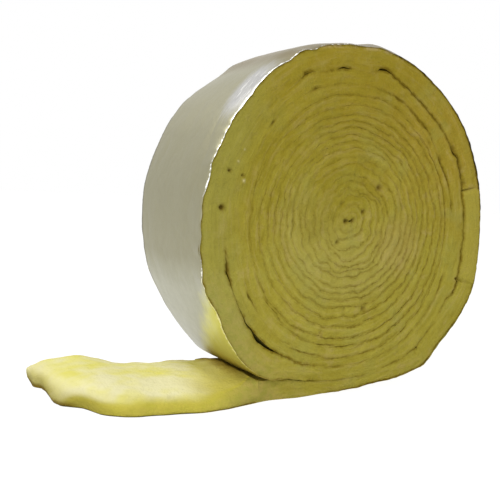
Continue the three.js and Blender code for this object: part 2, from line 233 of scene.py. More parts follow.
# ------------------------------------------------------------------ colours, lamps and camera
WOOL_CUT_DEEP = "#887a18"
WOOL_CUT_DARK = "#988c27"
WOOL_CUT_PALE = "#aea343"
WOOL_CUT_WARM = "#9c7f27"
WOOL_CUT_GREEN = "#96954c"
WOOL_CUT_BEIGE = "#b39e62"
WOOL_CUT_MUTED = "#b0a862"
WOOL_CUT_SMEAR = "#80701f"
WOOL_CUT_FOLDED = "#a79b3e"
# Painted light: the tail's cut edges are a lighter, yellower copy of the cut wool.
WOOL_OPEN_CUT_LIT = "#d4c640"
# Painted shade: the tail's end darker towards the floor.
WOOL_END_LOW_SHADE = "#8f8434"
# Painted shade along the joints between turns.
WOOL_JOINT_SHADE = "#6f5c0e"
# Painted shade in pits, hollows and creases, and at the very foot of the tail's end.
WOOL_PIT_SHADE = "#66510f"
WOOL_TUFT = "#d8cc98"
WOOL_SKIN_YELLOW = "#dad36c"
WOOL_SKIN_PALE = "#e0daab"
WOOL_SKIN_DULL = "#b3a74a"
# Painted shade and yellow bounce light on the tail's top by the roll, and darker painted shade at the nip.
WOOL_SKIN_BOUNCE_SHADE = "#cfc462"
WOOL_SKIN_NIP_SHADE = "#bd9c30"
WOOL_SKIN_SHADED = "#7f6a1c"
WOOL_SKIN_FRAYED = "#d6ce96"
# Painted reflections: the foil lighter low down than above. Between them, the darker tone of its crinkles.
FOIL_LOWER_REFLECTION = "#b2b19c"
FOIL_DULL = "#8a8671"
FOIL_UPPER_REFLECTION = "#989478"
# Darker along the top of the roll.
FOIL_DARK_TOP = "#6f623e"
# Painted reflection of the yellow tail, and by the nip a duller painted reflection and painted shade.
FOIL_TAIL_REFLECTION = "#e6e386"
FOIL_NIP_REFLECTION = "#bbb450"
FOIL_NIP_SHADE = "#bda23a"
# Painted sheen.
FOIL_SHEEN = "#b3b4be"
# Darker along the far edge.
FOIL_DARK_FAR_EDGE = "#6a6753"
# Painted highlight along the foil's cut edge, yellow low down.
FOIL_HIGHLIGHT = "#f6f6f0"
FOIL_YELLOW_HIGHLIGHT = "#f4edac"
# How much of the way round the rings in the wool's colour run on, in metres.
RING_STRETCH = 0.018
# Where a sheen is painted on the foil, as a point of the roll's near end and a place across the strip in metres, and
# one over its reach each way.
SHEEN_ANGLE, SHEEN_RADIUS, SHEEN_ACROSS = 134.5, 190, -0.06
SHEEN_SPREAD = (1 / 0.052, 1 / 0.028, 0.0)

# Each lamp: (name, place, what it points at, size, power), in metres and watts.
LAMPS = (
    ("overhead", (-0.9, 0.5, 1.5), (-0.12, 0, 0.08), 1.3, 11.0),
    ("front_key", (-1.2, -2.1, 3.35), (-0.05, -0.05, 0.15), 2.0, 63.0),
    ("front_fill", (-1.1, -1.5, 0.3), (-0.05, 0, 0.08), 1.2, 5.6),
    ("left_fill", (-1.5, 0.35, 0.22), (-0.12, 0, 0.05), 0.8, 1.25),
)
WORLD_LIGHT = 0.5
FLOOR_REACH, FLOOR_DROP = 6, 0.0006
CAMERA_PLACE, CAMERA_TARGET = Vector((-0.5206, -0.7399, 0.2340)), Vector((-0.0896, 0, 0.1534))
CAMERA_ROLL = 3.431
CAMERA_LENS, CAMERA_SENSOR = 54.68, 36.0


# ------------------------------------------------------------------ small tools
def srgb(code):
    """A hex colour as linear RGBA."""
    parts = [int(code[i:i + 2], 16) / 255 for i in (1, 3, 5)]
    return tuple(c / 12.92 if c <= 0.04045 else ((c + 0.055) / 1.055) ** 2.4 for c in parts) + (1.0,)


def smooth(x, rows):
    """A smooth curve through rows of (x, y), read at x."""
    xs, ys = np.array(rows, float).T
    slope = np.gradient(ys, xs)
    i = np.clip(np.searchsorted(xs, x) - 1, 0, len(xs) - 2)
    span = xs[i + 1] - xs[i]
    t = np.clip((x - xs[i]) / span, 0, 1)
    rise = ys[i + 1] - ys[i]
    a = slope[i] * span - rise
    b = rise - slope[i + 1] * span
    return ys[i] + rise * t + t * (1 - t) * (a * (1 - t) + b * t)


def eased(t):
    """A soft step from 0 to 1."""
    t = np.clip(t, 0, 1)
    return t * t * (3 - 2 * t)


def bell(x, width):
    """1 at the middle of a mark, falling away over its width."""
    return np.exp(-(x / width) ** 2)


def wander(coords, seed):
    """Smooth noise from -1 to 1 at each point."""
    shift = Vector((seed * 17.3, seed * 5.1, seed * 9.7))
    return np.array([noise.noise(Vector(c) + shift) for c in coords])


def along(s, step, seed):
    """The same along the strip, over steps of this length."""
    return wander(np.column_stack([s / step, np.zeros(len(s)), np.zeros(len(s))]), seed)


def add_node(tree, kind, inputs=(), output=0, stops=(), **settings):
    """Adds a node with its settings and gives one of its outputs. Inputs are in order or by name, and each is
    a value, a hex colour or another node's output to link from. Stops are those of a colour ramp."""
    node = tree.nodes.new(kind)
    for name, value in settings.items():
        setattr(node, name, value)
    for key, value in inputs.items() if isinstance(inputs, dict) else enumerate(inputs):
        if isinstance(value, bpy.types.NodeSocket):
            tree.links.new(value, node.inputs[key])
        else:
            node.inputs[key].default_value = srgb(value) if str(value).startswith("#") else value
    for k, (at, code) in enumerate(stops):
        node.color_ramp.elements[k].position, node.color_ramp.elements[k].color = at, srgb(code)
    return node.outputs[output] if len(node.outputs) else None


# ------------------------------------------------------------------ the line that the strip is wound on
def around_eye(angle, radius):
    turn = np.radians(angle)
    return np.stack([EYE[0] + radius * np.cos(turn), EYE[1] + radius * np.sin(turn)], -1)


def spiral_rows():
    """(angle counted on through the turns, radius) from where the roll leaves the floor to the eye."""
    rows = [(LIFT_OFF_ANGLE, EYE[1] / math.sin(math.radians(-LIFT_OFF_ANGLE)))]
    for turn, face in enumerate(LOOSE_TURNS):
        rows += [(angle + 360 * turn, radius) for angle, radius in face]
    for turn, (below, above) in enumerate(PACKED_TURNS, len(LOOSE_TURNS)):
        rows += [(360 * turn - 90, below), (360 * turn + 90, above)]
    rows.append((rows[-1][0] + 90, EYE_RADIUS))
    return rows


SPIRAL = spiral_rows()
LAST_ANGLE = SPIRAL[-1][0]


def face_radius(angle):
    """The radius of the strip's foil side. Below the roll it lies on the floor."""
    floor = -EYE[1] / np.sin(np.radians(np.minimum(angle, LIFT_OFF_ANGLE)))
    return np.where(angle < LIFT_OFF_ANGLE, floor, smooth(angle, SPIRAL))


def buckled_radius(angle):
    """The same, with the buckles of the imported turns."""
    radius = face_radius(angle)
    spots = around_eye(angle, radius)
    for seed, (length, heights) in enumerate(BUCKLES, 1):
        coords = np.column_stack([spots / length, np.zeros(len(spots))])
        radius = radius + np.interp(radius, BUCKLE_RADII, heights) * wander(coords, seed) * (angle > NIP_ANGLE + 360)
    return radius


def wound_line():
    """Points of the line, and for each the angle counted on through the turns."""
    tail = np.arange(-TAIL_REACH - RUN_OUT, around_eye(NIP_ANGLE, face_radius(np.array(NIP_ANGLE)))[0], 1.0)
    tail_points = np.column_stack([tail, np.zeros(len(tail))])
    tail_angles = np.degrees(np.arctan2(-EYE[1], tail - EYE[0]))
    angles = np.arange(tail_angles[-1] + 0.3, LAST_ANGLE, LINE_STEP)
    points = around_eye(angles, buckled_radius(angles))
    return np.vstack([tail_points, points]), np.concatenate([tail_angles, angles])


line, line_angles = wound_line()
line_length = np.concatenate([[0], np.cumsum(np.hypot(*np.diff(line, axis=0).T))]) - RUN_OUT


def on_line(s, values):
    return np.interp(s, line_length, values)


def place_on_strip(angle, radius):
    """The length along the strip at which a point of the roll's end lies."""
    while angle + 360 < LAST_ANGLE and face_radius(np.array(angle + 360.0)) >= radius:
        angle += 360
    return np.interp(angle, line_angles, line_length)


def stations():
    """Places along the strip at which it has a ring of points."""
    places = [0.0]
    while places[-1] < line_length[-1]:
        from_eye = math.hypot(*(on_line(places[-1], line[:, i]) - EYE[i] for i in (0, 1)))
        places.append(places[-1] + np.clip(STATION_SHARE * from_eye, STATION_MIN, STATION_MAX))
    places[-1] = line_length[-1]
    places += END_STATIONS
    for angle, radius, *_ in EDGE_CREASES + EDGE_PITS + EDGE_TUFTS + EDGE_HOLLOWS + FOLD_MARKS:
        middle = place_on_strip(angle, radius + 2)
        places += [middle + step for step in MARK_STATIONS]
    places = np.unique(np.round(places, 2))
    keep = np.concatenate([[True], np.diff(places) > STATION_CLOSEST])
    keep[-1] = True
    return places[keep]


class Strip:
    """What is known at each station: where it lies, which way is inward, and how thick the wool is."""

    def __init__(self):
        self.s = stations()
        self.angle = on_line(self.s, line_angles)
        self.point = np.column_stack([on_line(self.s, line[:, 0]), on_line(self.s, line[:, 1])])
        after, before = self.angle + 1, self.angle - 1
        ahead = around_eye(after, face_radius(after)) - around_eye(before, face_radius(before))
        ahead /= np.hypot(*ahead.T)[:, None]
        self.inward = np.column_stack([-ahead[:, 1], ahead[:, 0]])
        self.radius = np.hypot(*(self.point - EYE).T)
        self.in_tail = (self.s < TAIL_LENGTH) & (self.point[:, 0] < TAIL_INNER_X)
        self.in_open = self.in_tail & (self.angle < NIP_ANGLE + 2)
        self.first_turn = self.angle < NIP_ANGLE + 360
        self.thickness = self.measure_room()

    def measure_room(self):
        """The room between a turn's foil and the next turn in, or the eye."""
        outward = (self.point - EYE) / self.radius[:, None]
        facing = np.abs((outward * self.inward).sum(1))
        eye_turn = np.radians(self.angle - EYE_TILT)
        slot = 0.5 * EYE_LENGTH * EYE_HEIGHT / np.hypot(EYE_HEIGHT * np.cos(eye_turn), EYE_LENGTH * np.sin(eye_turn))
        packed = self.angle + 360 < LAST_ANGLE
        inner = np.where(packed, buckled_radius(np.minimum(self.angle + 360, LAST_ANGLE)), slot)
        room = (self.radius - inner) * facing
        for _ in range(4):
            reached, far_in = self.wound(room)
            reached = self.angle + (reached - self.angle + 180) % 360 - 180
            beyond = far_in - buckled_radius(np.minimum(reached + 360, LAST_ANGLE))
            room += np.where(packed & ~self.in_tail, np.clip(beyond / facing, -3, 3), 0.0)
        gap = np.where(self.angle < 250, smooth(self.angle, SPRUNG_GAPS), 0.0)
        return np.maximum(room - gap, 1.0)

    def wound(self, h):
        """The angle about the eye and the radius of points at height h above the foil."""
        across = self.point - EYE + self.inward * h[:, None]
        return np.degrees(np.arctan2(across[:, 1], across[:, 0])), np.hypot(*across.T)


strip = Strip()


# ------------------------------------------------------------------ the strip, laid flat
def edge_steps(count):
    """Shares of the wool's thickness up a cut edge, closer together towards its corners."""
    even = np.linspace(0, 1, count)
    return 0.5 * even + 0.5 * (1 - np.cos(np.pi * even)) / 2


def side_limits():
    """How far the strip reaches to its near and far side at each station; its end is torn and rounded."""
    near = np.where(strip.s < 400, smooth(strip.point[:, 0], TAIL_NEAR_EDGE), -HALF_WIDTH)
    turned = np.clip(1 - strip.s / TAIL_CORNER_RADIUS, 0, 1)
    far = HALF_WIDTH - TAIL_CORNER_RADIUS * (1 - np.sqrt(1 - turned ** 2))
    return near, far


def out_of_square(y):
    """How far the strip's points are moved along it near its torn end."""
    return smooth(y, TAIL_END_SHIFT) * np.exp(-strip.s / 12)


def nose_share(y):
    """The share of its height that the wool keeps near its torn end: it slopes down to its near corner."""
    length, foot = np.interp(y, (-20, 76), (17, 3)), np.interp(y, (-20, 30, 76), (0.25, 0.55, 0.82))
    return foot + (1 - foot) * np.sqrt(1 - (1 - np.clip(strip.s / length, 0, 1)) ** 2)


def facing_height(f):
    """How far inward the facing lies at share f of the half width, from -1 near to 1 far."""
    angle = strip.angle
    loose = np.clip((angle + 78) / 25, 0, 1) * np.clip((275 - angle) / 8, 0, 1)
    twist = smooth(angle, FAR_EDGE_SHIFT) * (0.5 + 0.5 * f)
    crown = 1.0 * (1 - abs(f) ** 3)
    shoulder = sum(deep * bell(angle - at, spread) * min(1, (1 + f) / reach) ** 1.2
                   for at, spread, deep, reach in SHOULDERS)
    dented = smooth(angle, RIM_DENTS) * max(0.0, (-f - 0.7) / 0.3) ** 1.5
    lift = smooth(angle, NEAR_EDGE_LIFT) * strip.first_turn * min(1, max(0, -f - 0.45) / 0.55) ** 1.5
    tip = TAIL_TIP_LIFT * max(0.0, (f - 0.5) / 0.5) ** 1.3 * np.exp(-strip.s / 9)
    return lift + tip - (twist + crown + shoulder - dented) * loose


def clearness(side, joint_angle, radius):
    """How clear the joint at a counted angle is, from 0 to 1: the end is smeared above the eye and to its left."""
    around = (joint_angle if side < 0 else FAR_END_TURN - joint_angle) % 360
    clear = smooth(np.where(around > 190, around - 360, around), CLEAR_AROUND) * smooth(radius, CLEAR_OUTWARD)
    if side < 0:
        for turn, rows in enumerate(JOINT_CLEARNESS):
            counted = joint_angle - 360 * turn
            clear = np.where((counted > NIP_ANGLE) & (counted < NIP_ANGLE + 360), smooth(counted, rows), clear)
    return np.where(joint_angle < NIP_ANGLE, smooth(joint_angle + 360, OUTER_EDGE_CLEARNESS), clear)


def marks(side, x, z, radius):
    """How deep the creases, hollows and pits are at points of an end, and below 0 how far the tufts stand out."""
    depth = np.zeros(len(x))

    def turned(at):
        turn = math.radians(at if side < 0 else FAR_END_TURN - at)
        return x * math.cos(turn) + z * math.sin(turn), -x * math.sin(turn) + z * math.cos(turn)

    for at, inner, outer, width, deep in EDGE_CREASES:
        out, off = turned(at)
        reach = np.clip((radius - inner) / 2, 0, 1) * np.clip(1.15 * (outer - radius) / (outer - inner), 0, 1)
        depth += deep * bell(off, width) * reach * (out > 0)
    for at, middle, long, wide, deep in EDGE_HOLLOWS:
        out, off = turned(at)
        depth += deep * np.exp(-(off / long) ** 2 - ((radius - middle) / wide) ** 2) * (out > 0)
    for at, middle, size, deep in EDGE_PITS + tuple((a, r, size, -rise) for a, r, size, rise in EDGE_TUFTS):
        out, off = turned(at)
        depth += deep * np.exp(-((out - middle) ** 2 + off ** 2) / size ** 2)
    return depth * ~strip.in_open


def recess(side, v, h):
    """How far a point on a cut edge lies behind the strip's side limit, how far it is from a joint, how clear that
    joint is, which sets its painted shade, and how deep in a mark it is."""
    angle, radius = strip.wound(h)
    joint_angle = strip.angle - (0 if v > 0.5 else 360)
    clear = clearness(side, joint_angle, radius)
    on_joint = np.radians(joint_angle) * radius
    patchy = np.clip(0.75 + 1.6 * along(on_joint, 22, 11 + side) + 1.2 * along(on_joint, 7, 31 + side), 0, 1.7)
    patchy = np.where(clear > 0.75, np.maximum(patchy, 0.8), patchy)
    corner = abs(2 * v - 1)
    lower = max(0.0, 1 - 2 * v)
    from_joint = min(v, 1 - v) * strip.thickness
    wound = (0.04 + 1.1 * clear * patchy) * corner ** 2.6
    slope = 12 if side < 0 else np.interp(strip.s, (0, 25, 60), (1.5, 7, 10))
    loose = 1.8 * lower ** 4 + slope * max(0.0, (v - 0.12) / 0.88) ** 2.2
    depth = np.where(strip.in_open, loose, wound)
    x, z = radius * np.cos(np.radians(angle)), radius * np.sin(np.radians(angle))
    rippled = (1 - 0.8 * np.clip((radius - 172) / 12, 0, 1)) * ~strip.in_open
    for size, height, seed in FACE_RIPPLES:
        depth += height * rippled * wander(np.column_stack([x, z, np.full(len(x), side)]) / size, seed)
    first, last, from_radius, rise = FOLDED_EDGE
    if side < 0:
        fold = np.clip((angle - first) / 0.6, 0, 1) * np.clip((last - angle) / 0.6, 0, 1)
        fold *= np.clip((radius - from_radius + 12) / 4, 0, 1)
        depth -= rise * fold * strip.first_turn * ~strip.in_tail
    # Along the foot of the tail's edges the joint colour is painted shade where they meet the floor.
    foot = 0.9 * lower ** 2 * np.clip(1.8 + 1.3 * along(strip.s, 15, 41), 0.6, 1.4)
    shown = np.where(strip.in_open, foot, clear * np.clip(patchy, 0.15, 1.3))
    pit = marks(side, x, z, radius)
    return depth + pit, from_joint, shown, pit


def flat_wool():
    """The wool's rings: up its near edge, across the top, down its far edge and back under it."""
    near, far = side_limits()
    x = strip.point[:, 0]
    rows = np.array(TAIL_HEIGHTS, float)
    near_top, middle, far_top = (
        np.where(strip.in_tail, smooth(x, rows[:, (0, k)]), strip.thickness) for k in (1, 2, 3))
    near_top, middle, far_top = (
        np.where(strip.in_open, top, np.minimum(top, strip.thickness)) for top in (near_top, middle, far_top))
    columns, values = [], []

    def add(y, h, end_face, from_joint, clear, pit, fluff):
        lean = TAIL_TIP_LEAN * np.clip((y - 45) / 31, 0, 1) ** 1.5 * h / 20
        lean = lean + TAIL_END_LEAN * np.clip(h / 8, 0, 1) * np.clip((48 - y) / 8, 0, 1)
        lean = lean * np.exp(-strip.s / 10)
        columns.append(np.stack([strip.s + out_of_square(y) - lean, y, h * nose_share(y)], 1))
        values.append(np.stack([np.broadcast_to(a, x.shape) for a in (end_face, from_joint, clear, pit, fluff)], 1))

    def edge(side, count):
        limit = (near, far)[side > 0]
        tops = (near_top, far_top)[side > 0]
        base = facing_height(side) + np.where(strip.first_turn, BOND_ROOM, 0.0)
        for v in edge_steps(count)[::(1, -1)[side > 0]]:
            h = base + v * (tops - base)
            behind, from_joint, clear, pit = recess(side, v, h)
            torn = np.clip((x + 312 - 5 * v) / 12, 0.3, 1)
            at_end = np.interp(x, (-280, -235), (1, 0))
            pale = 0.3 * max(0, v - 0.6) / 0.4 * (1 - at_end) + 0.42 * np.clip((v - 0.45) / 0.3, 0, 1) * at_end
            cut = np.where(strip.in_open, (0.5 - pale) * torn, 1)
            cut += (1 - cut) * eased((x + 190) / 82)
            free = np.where(strip.in_open, min(1, 5 * v + 0.1), 0.1)
            add(limit - side * behind, h, side * cut, from_joint, clear, pit, free)

    edge(-1, NEAR_EDGE_POINTS)
    inset = np.where(strip.in_open, 13.5, 2)
    open_air = np.clip((-100 - x) / 25, 0, 1) * strip.in_open
    # On the tail's top the joint colour is painted shade by the nip, fading out to the left.
    lit = np.clip((-70 - x) / 25, 0, 1) * strip.in_open
    torn_end = 0.24 * bell(strip.s, 4)
    for step in range(1, TOP_POINTS + 1):
        f = step / (TOP_POINTS + 1)
        y = (near + inset) * (1 - f) + (far - inset) * f
        from_middle = 2 * f - 1
        side_top = near_top if from_middle < 0 else far_top
        h = middle - (middle - side_top) * abs(from_middle) ** CROWN_POWER
        add(y, np.where(strip.in_tail, h, strip.thickness), torn_end, 8 * lit, 0.5 * (1 - lit), 0, open_air)
    edge(+1, FAR_EDGE_POINTS)
    for y in UNDER_POINTS:
        lift = np.where(strip.in_tail | ~strip.first_turn, BOND_ROOM, facing_height(y / HALF_WIDTH) + 2.6)
        add(np.clip(y, near + 3, far - 3), lift, 0, 0, 1, 0, 0)
    return np.stack(columns, 1), np.stack(values, 1)


def foil_columns():
    """Places across half of the foil, closer together towards its cut edge."""
    return 1 - (1 - np.linspace(0, 1, FOIL_COLUMNS)) ** 1.6


def flat_foil():
    """The foil's rings: across its outer side and back across its inner side, narrower than the cut end inside
    the roll. Also which rings have the columns of each side as one vertex."""
    near, far = side_limits()
    angle = strip.angle
    loose = angle < NIP_ANGLE + 360 + 8
    half = foil_columns()
    across = np.concatenate([-half[::-1], half[1:]])
    columns, values = [], []
    inside = 5.5 + 1.5 * along(strip.s, 40, 21)
    out = 0.6 + 0.8 * along(strip.s, 9, 22) + 0.5 * along(strip.s, 3.4, 23)
    reach = np.where(loose, np.where(strip.in_tail, -0.6, out), -inside)
    turned_over = 0.6 + 0.5 * along(strip.s, 11, 24) + 0.4 * along(strip.s, 4, 25)
    curl = np.where(strip.in_tail | ~loose, 0, turned_over)
    middle, width = (near + far) / 2, (far - near) / 2
    for outer in (True, False):
        for f in across if outer else across[::-1]:
            y = middle + f * (width + reach)
            from_edge = (1 - abs(f)) * width
            turned_in = curl * np.clip(1 - from_edge / 2.5, 0, 1) ** 2
            h = turned_in + facing_height(f) + (0 if outer else FOIL_SHOWN_THICKNESS)
            columns.append(np.stack([strip.s + out_of_square(y) + 0.8 * (strip.s < 1), y, h], 1))
            open_foil = loose * np.clip((angle + 82) / 10, 0, 1) * min(1, (1 - abs(f)) * 12)
            # The rim sets where the painted highlight along the cut edge runs.
            rim = max(0.0, 1 - from_edge.min() / 3) * outer * smooth(angle, BRIGHT_RIM)
            values.append(np.stack([rim, open_foil], 1))
    merged = [(~loose, k * len(across) + 1, (k + 1) * len(across) - 1) for k in (0, 1)]
    return np.stack(columns, 1), np.stack(values, 1), merged


def end_cap(ring, across):
    """Closes a ring with triangles between its upper and its lower side, taken in step across the strip."""
    far = int(np.argmax(across))
    upper, lower = list(range(far + 1)), [0] + list(range(len(ring) - 1, far - 1, -1))
    a = b = 0
    corners = []
    while a < len(upper) - 1 or b < len(lower) - 1:
        if b == len(lower) - 1 or (a < len(upper) - 1 and across[upper[a + 1]] <= across[lower[b + 1]]):
            corners.append([upper[a], upper[a + 1], lower[b]])
            a += 1
        else:
            corners.append([upper[a], lower[b + 1], lower[b]])
            b += 1
    return [[int(ring[k]) for k in three] for three in corners]


def ring_mesh(name, points, values, names, merged):
    """A closed mesh of rings. In the rings that merged picks, its columns from first to last are one vertex."""
    index = np.arange(points.shape[0] * points.shape[1]).reshape(points.shape[:2])
    for rows, first, last in merged:
        rows = np.flatnonzero(rows)[:, None]
        index[rows, np.arange(first, last)] = index[rows, (first + last) // 2]
    after = np.roll(np.arange(points.shape[1]), -1)
    quads = np.stack([index[:-1], index[1:], index[1:, after], index[:-1, after]], -1).reshape(-1, 4).tolist()
    ends = end_cap(index[0], points[0, :, 1]) + [corners[::-1] for corners in end_cap(index[-1], points[-1, :, 1])]
    faces = [list(dict.fromkeys(q)) for q in quads + ends]
    faces = [f for f in faces if len(f) > 2]
    used = np.unique([c for f in faces for c in f])
    renumber = np.zeros(index.size, int)
    renumber[used] = np.arange(len(used))
    flat = (points.reshape(-1, 3)[used] + (RUN_OUT, 0, 0)) * MM
    inward = np.repeat(strip.inward[:, None], points.shape[1], 1).reshape(-1, 2)[used]
    inward = np.column_stack([inward[:, 0], np.zeros(len(used)), inward[:, 1]])
    mesh = bpy.data.meshes.new(name)
    mesh.from_pydata(flat.tolist(), [], [[int(renumber[c]) for c in f] for f in faces])
    for key, vectors in (("flat", flat), ("inward", inward)):
        mesh.attributes.new(key, "FLOAT_VECTOR", "POINT").data.foreach_set("vector", vectors.ravel())
    for k, key in enumerate(names):
        mesh.attributes.new(key, "FLOAT", "POINT").data.foreach_set("value", values[..., k].reshape(-1)[used])
    mesh.update()
    return mesh


# ------------------------------------------------------------------ winding
def winding_tree():
    """Moves a flat strip onto its line, then raises its surface with long ruffles and short felt."""
    tree = bpy.data.node_groups.new("wind_up", "GeometryNodeTree")
    face = tree.interface
    face.new_socket(name="Geometry", in_out="INPUT", socket_type="NodeSocketGeometry")
    face.new_socket(name="Line", in_out="INPUT", socket_type="NodeSocketObject")
    face.new_socket(name="Finish", in_out="INPUT", socket_type="NodeSocketMaterial")
    for name in ("Ruffle Length", "Ruffle Height", "Felt Length", "Felt Height", "Seed"):
        face.new_socket(name=name, in_out="INPUT", socket_type="NodeSocketFloat")
    face.new_socket(name="Geometry", in_out="OUTPUT", socket_type="NodeSocketGeometry")
    given = add_node(tree, "NodeGroupInput").node.outputs
    guide = add_node(tree, "GeometryNodeObjectInfo", {"Object": given["Line"]}, "Geometry")
    position = add_node(tree, "GeometryNodeInputPosition")
    flat = add_node(tree, "ShaderNodeSeparateXYZ", (position,)).node.outputs
    on_guide = add_node(tree, "GeometryNodeSampleCurve", {"Curves": guide, "Length": flat["X"]}, "Position",
                        mode="LENGTH", data_type="FLOAT", use_all_curves=True)
    across = add_node(tree, "ShaderNodeCombineXYZ", {"Y": flat["Y"]})
    inward, strip_place = (add_node(tree, "GeometryNodeInputNamedAttribute", {"Name": name}, data_type="FLOAT_VECTOR")
                           for name in ("inward", "flat"))
    fluff = add_node(tree, "GeometryNodeInputNamedAttribute", {"Name": "fluff"}, data_type="FLOAT")
    raised = add_node(tree, "ShaderNodeVectorMath", {0: inward, "Scale": flat["Z"]}, operation="SCALE")
    sideways = add_node(tree, "ShaderNodeVectorMath", (on_guide, across), operation="ADD")
    place = add_node(tree, "ShaderNodeVectorMath", (sideways, raised), operation="ADD")
    wound = add_node(tree, "GeometryNodeSetPosition", {"Geometry": given["Geometry"], "Position": place})

    heights = []
    for kind, stretch, seed_shift in (("Ruffle", (0.7, 1, 1), 0.0), ("Felt", (0.4, 1, 1), 31.0)):
        drawn = add_node(tree, "ShaderNodeVectorMath", (strip_place, stretch), operation="MULTIPLY")
        scale = add_node(tree, "ShaderNodeMath", (1.0, given[kind + " Length"]), operation="DIVIDE")
        seed = add_node(tree, "ShaderNodeMath", (given["Seed"], seed_shift), operation="ADD")
        rough = add_node(tree, "ShaderNodeTexNoise", {"Vector": drawn, "W": seed, "Scale": scale, "Detail": 2.0,
                         "Roughness": 0.55}, noise_dimensions="4D")
        signed = add_node(tree, "ShaderNodeMath", (rough, 0.5), operation="SUBTRACT")
        heights.append(add_node(tree, "ShaderNodeMath", (signed, given[kind + " Height"]), operation="MULTIPLY"))
    both = add_node(tree, "ShaderNodeMath", heights, operation="ADD")
    kept = add_node(tree, "ShaderNodeMath", (both, fluff), operation="MULTIPLY")
    normal = add_node(tree, "GeometryNodeInputNormal")
    lift = add_node(tree, "ShaderNodeVectorMath", {0: normal, "Scale": kept}, operation="SCALE")
    felted = add_node(tree, "GeometryNodeSetPosition", {"Geometry": wound, "Offset": lift})
    soft = add_node(tree, "GeometryNodeSetShadeSmooth", {"Geometry": felted})
    bend = add_node(tree, "GeometryNodeInputMeshEdgeAngle")
    sharp = add_node(tree, "ShaderNodeMath", (bend, 0.8), operation="GREATER_THAN")
    soft = add_node(tree, "GeometryNodeSetShadeSmooth", {"Geometry": soft, "Selection": sharp, "Shade Smooth": False},
                    domain="EDGE")
    real = add_node(tree, "GeometryNodeRealizeInstances", {"Geometry": soft})
    done = add_node(tree, "GeometryNodeSetMaterial", {"Geometry": real, "Material": given["Finish"]})
    add_node(tree, "NodeGroupOutput", {"Geometry": done})
    return tree


def guide_line():
    curve = bpy.data.curves.new("winding_line", "CURVE")
    curve.dimensions = "3D"
    spline = curve.splines.new("POLY")
    spline.points.add(len(line) - 1)
    points = np.column_stack([line[:, 0] * MM, np.zeros(len(line)), line[:, 1] * MM, np.ones(len(line))])
    spline.points.foreach_set("co", points.ravel())
    guide = bpy.data.objects.new("winding_line", curve)
    bpy.context.collection.objects.link(guide)
    return guide


def run_tree(mesh, tree, inputs):
    """Runs a mesh through a Geometry Nodes tree and keeps the result as a plain mesh object."""
    name = mesh.name
    before = bpy.data.objects.new(name + "_before", mesh)
    bpy.context.collection.objects.link(before)
    modifier = before.modifiers.new("shape", "NODES")
    modifier.node_group = tree
    sockets = {item.name: item.identifier for item in tree.interface.items_tree if item.in_out == "INPUT"}
    for key, value in inputs.items():
        modifier[sockets[key]] = value
    bpy.context.view_layer.update()
    depsgraph = bpy.context.evaluated_depsgraph_get()
    result = bpy.data.meshes.new_from_object(before.evaluated_get(depsgraph), depsgraph=depsgraph)
    bpy.data.objects.remove(before)
    result.name = name
    piece = bpy.data.objects.new(name, result)
    bpy.context.collection.objects.link(piece)
    return piece


# ------------------------------------------------------------------ finishes
def new_material(name):
    material = bpy.data.materials.new(name)
    material.use_nodes = True
    material.node_tree.nodes.clear()
    return material, material.node_tree


def mottle(tree, vector, size_mm, detail=3.0, stretch=(1, 1, 1), shift=0.0):
    """Blotches about this many millimetres across."""
    scale = tuple(1000 / size_mm * k for k in stretch)
    drawn = add_node(tree, "ShaderNodeMapping", {"Vector": vector, "Location": (shift,) * 3, "Scale": scale})
    return add_node(tree, "ShaderNodeTexNoise", {"Vector": drawn, "Scale": 1.0, "Detail": detail, "Roughness": 0.6})


def strength(tree, most, *places):
    """How strong a tint is, from 0 to most, by the places that it is held to. Each is an output to multiply by, or
    (value, none, full): a step in a value, from where there is no tint to where it is full. The step is soft, or
    straight where a fourth item says LINEAR."""
    share = most
    for place in places:
        first = share is most
        if isinstance(place, tuple):
            value, none, full, *kind = place
            place = add_node(tree, "ShaderNodeMapRange", (value, none, full, 0.0, most if first else 1.0),
                             interpolation_type=kind[0] if kind else "SMOOTHSTEP")
            share = place if first else add_node(tree, "ShaderNodeMath", (share, place), operation="MULTIPLY")
        else:
            share = add_node(tree, "ShaderNodeMath", (place, share), operation="MULTIPLY")
    return share


def washed(tree, colour, *washes):
    """Lays tints one over another on a colour. Each wash is (tint, most, places...), as strength takes them."""
    for tint, most, *places in washes:
        share = strength(tree, most, *places)
        colour = add_node(tree, "ShaderNodeMix", {0: share, 6: colour, 7: tint}, 2, data_type="RGBA")
    return colour


